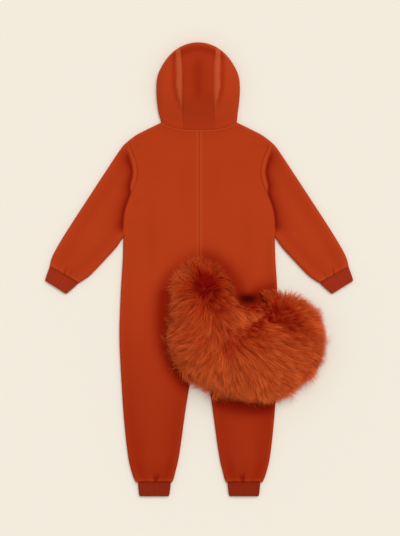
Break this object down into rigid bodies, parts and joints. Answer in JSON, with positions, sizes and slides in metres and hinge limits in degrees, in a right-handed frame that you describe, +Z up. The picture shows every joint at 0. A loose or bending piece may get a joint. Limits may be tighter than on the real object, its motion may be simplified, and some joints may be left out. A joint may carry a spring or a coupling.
{
  "type": "kigurumi onesie",
  "caption": "Child's hooded fleece onesie with ribbed cuffs and a stuffed fur tail, laid flat with its back up.",
  "frame": {"origin": "under the middle of the garment, on the surface it lies on", "axes": "+X across the garment towards the wearer's right, +Y from the ankles to the hood, +Z up from the surface"},
  "size_m": [0.864, 1.27, 0.1261],
  "materials": {
    "fleece": "brushed fleece with a short nap",
    "rib": "ribbed knit",
    "fur": "long pile fur",
    "button": "matte"
  },
  "bodies": {
    "root": {"hood_centre": "fleece", "hood_side_left": "fleece", "hood_side_right": "fleece", "back_left": "fleece", "back_right": "fleece", "front_left": "fleece", "front_right": "fleece", "sleeve_left": "fleece", "sleeve_right": "fleece", "wrist_cuff_left": "rib", "wrist_cuff_right": "rib", "ankle_cuff_left": "rib", "ankle_cuff_right": "rib", "placket_outer": "fleece", "placket_inner": "fleece", "button_1": "button", "button_2": "button", "button_3": "button", "button_4": "button", "button_5": "button", "tail": "fur"}
  },
  "joints": []
}
